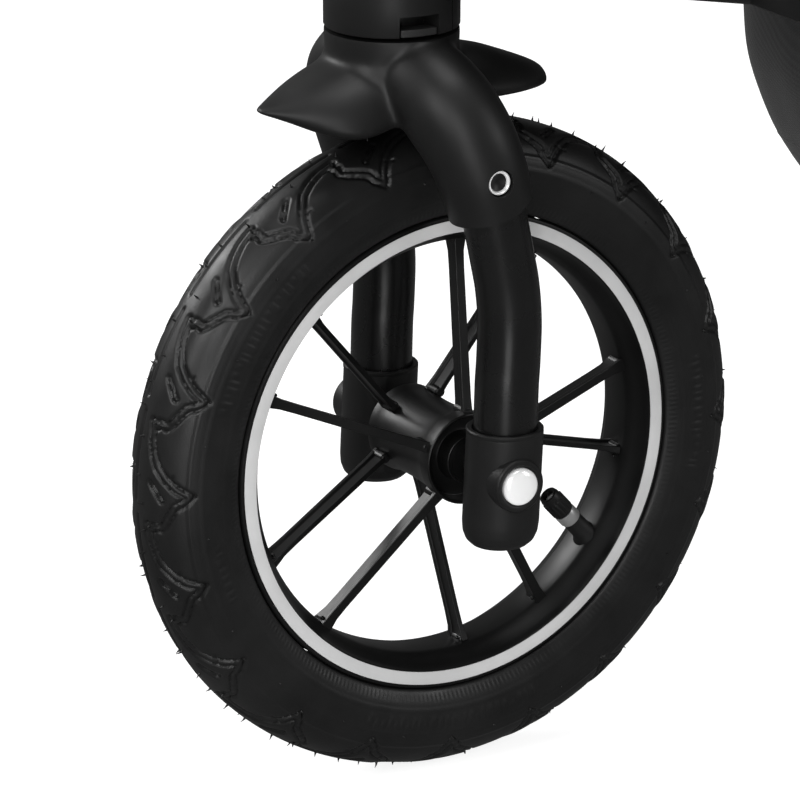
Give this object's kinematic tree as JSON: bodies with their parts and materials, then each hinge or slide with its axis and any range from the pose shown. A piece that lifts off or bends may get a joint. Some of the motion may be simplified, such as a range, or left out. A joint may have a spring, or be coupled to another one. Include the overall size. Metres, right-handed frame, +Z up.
{
  "type": "baby stroller",
  "caption": "Three-wheeled all-terrain pushchair with a swivelling front wheel on a curved fork, folding frame, reclining seat, canopy and basket.",
  "frame": {"origin": "on the floor under the middle of the overall box", "axes": "+X forward, +Y to the stroller's left, +Z up"},
  "size_m": [1.1, 0.623, 1.052],
  "materials": {
    "rubber": "moulded black tyre rubber with tread",
    "wheel_plastic": "satin black moulded rim, spokes and hub",
    "reflective": "light grey reflective tape",
    "moulded": "satin black moulded plastic, fine texture",
    "frame_paint": "satin black powder coat",
    "chrome": "polished",
    "seat_fabric": "charcoal woven polyester, padded",
    "shell_fabric": "black woven polyester",
    "grip_foam": "closed-cell foam",
    "pedal": "dark grey moulded plastic"
  },
  "bodies": {
    "frame": {"head_housing": "moulded", "front_tube_left": "frame_paint", "front_tube_right": "frame_paint", "hinge_left": "moulded", "hinge_right": "moulded", "hinge_bolt_left": "chrome", "hinge_bolt_right": "chrome", "seat_frame": "frame_paint", "seat_pad": "seat_fabric", "buckle": "moulded", "footrest": "moulded", "basket": "shell_fabric"},
    "fork": {"fork_crown": "moulded", "fork_leg_left": "frame_paint", "fork_leg_right": "frame_paint", "dropout_left": "moulded", "dropout_right": "moulded", "front_axle": "frame_paint", "axle_cap_left": "chrome", "axle_cap_right": "chrome", "fork_screw_left": "chrome", "fork_screw_right": "chrome", "swivel_spindle": "chrome"},
    "front_wheel": {"front_tyre": "rubber", "front_wheel": "wheel_plastic", "front_rim_stripe_left": "reflective", "front_rim_stripe_right": "reflective", "front_valve_stem": "chrome", "front_valve_cap": "moulded"},
    "swivel_lock": {"swivel_lock": "moulded"},
    "handle": {"handle_tube": "frame_paint", "handle_grip": "grip_foam", "canopy_pivot_left": "moulded", "canopy_pivot_right": "moulded", "canopy_bow_rear": "frame_paint", "canopy": "shell_fabric"},
    "canopy_middle": {"canopy_bow_middle": "frame_paint"},
    "canopy_front": {"canopy_bow_front": "frame_paint"},
    "backrest": {"backrest_frame": "frame_paint", "backrest_pad": "seat_fabric"},
    "leg_rest": {"leg_rest": "seat_fabric"},
    "rear_frame": {"rear_leg_left": "frame_paint", "rear_leg_right": "frame_paint", "rear_axle_beam": "frame_paint"},
    "brake_pedal": {"brake_pedal": "pedal"},
    "rear_wheel_left": {"rear_tyre_left": "rubber", "rear_wheel_left": "wheel_plastic", "rear_rim_stripe_left": "reflective", "rear_hub_cap_left": "moulded"},
    "rear_wheel_right": {"rear_tyre_right": "rubber", "rear_wheel_right": "wheel_plastic", "rear_rim_stripe_right": "reflective", "rear_hub_cap_right": "moulded"},
    "fold_latch_left": {"fold_latch_left": "pedal"},
    "fold_latch_right": {"fold_latch_right": "pedal"}
  },
  "joints": [
    {"name": "front_swivel", "type": "hinge", "parent": "frame", "child": "fork", "pos_m": [0.4209, 0, 0.354], "axis": [0, 0, 1], "continuous": true},
    {"name": "front_wheel_spin", "type": "hinge", "parent": "fork", "child": "front_wheel", "pos_m": [0.398, 0, 0.152], "axis": [0, 1, 0], "continuous": true},
    {"name": "swivel_lock_slide", "type": "slide", "parent": "frame", "child": "swivel_lock", "axis": [0, 0, 1], "range_m": [0, 0.0055]},
    {"name": "handle_fold", "type": "hinge", "parent": "frame", "child": "handle", "pos_m": [-0.13, 0, 0.53], "axis": [0, -1, 0], "range_deg": [0, 105], "deforming": ["basket"]},
    {"name": "rear_leg_fold", "type": "hinge", "parent": "frame", "child": "rear_frame", "pos_m": [-0.13, 0, 0.53], "axis": [0, -1, 0], "range_deg": [0, 71]},
    {"name": "backrest_recline", "type": "hinge", "parent": "handle", "child": "backrest", "pos_m": [-0.13, 0, 0.53], "axis": [0, -1, 0], "range_deg": [0, 35]},
    {"name": "canopy_fold", "type": "hinge", "parent": "handle", "child": "canopy_front", "pos_m": [-0.30779, 0, 0.80801], "axis": [0, -1, 0], "range_deg": [0, 54], "deforming": ["canopy"]},
    {"name": "canopy_middle_fold", "type": "hinge", "parent": "handle", "child": "canopy_middle", "pos_m": [-0.30779, 0, 0.80801], "axis": [0, -1, 0], "range_deg": [0, 28]},
    {"name": "leg_rest_lift", "type": "hinge", "parent": "frame", "child": "leg_rest", "pos_m": [0.15, 0, 0.482], "axis": [0, -1, 0], "range_deg": [0, 55]},
    {"name": "brake_press", "type": "hinge", "parent": "rear_frame", "child": "brake_pedal", "pos_m": [-0.34, 0, 0.152], "axis": [0, -1, 0], "range_deg": [0, 22]},
    {"name": "rear_wheel_left_spin", "type": "hinge", "parent": "rear_frame", "child": "rear_wheel_left", "pos_m": [-0.34, 0.274, 0.152], "axis": [0, 1, 0], "continuous": true},
    {"name": "rear_wheel_right_spin", "type": "hinge", "parent": "rear_frame", "child": "rear_wheel_right", "pos_m": [-0.34, -0.274, 0.152], "axis": [0, 1, 0], "continuous": true},
    {"name": "fold_latch_left_slide", "type": "slide", "parent": "handle", "child": "fold_latch_left", "axis": [-0.5388, 0, 0.8425], "range_m": [0, 0.008], "stiffness_N_per_m": 400, "springref_m": -0.004},
    {"name": "fold_latch_right_slide", "type": "slide", "parent": "handle", "child": "fold_latch_right", "axis": [-0.5388, 0, 0.8425], "range_m": [0, 0.008], "stiffness_N_per_m": 400, "springref_m": -0.004}
  ],
  "couplings": [
    {"joint": "rear_leg_fold", "follows": "handle_fold", "ratio": 0.67619},
    {"joint": "canopy_middle_fold", "follows": "canopy_fold", "ratio": 0.5}
  ]
}
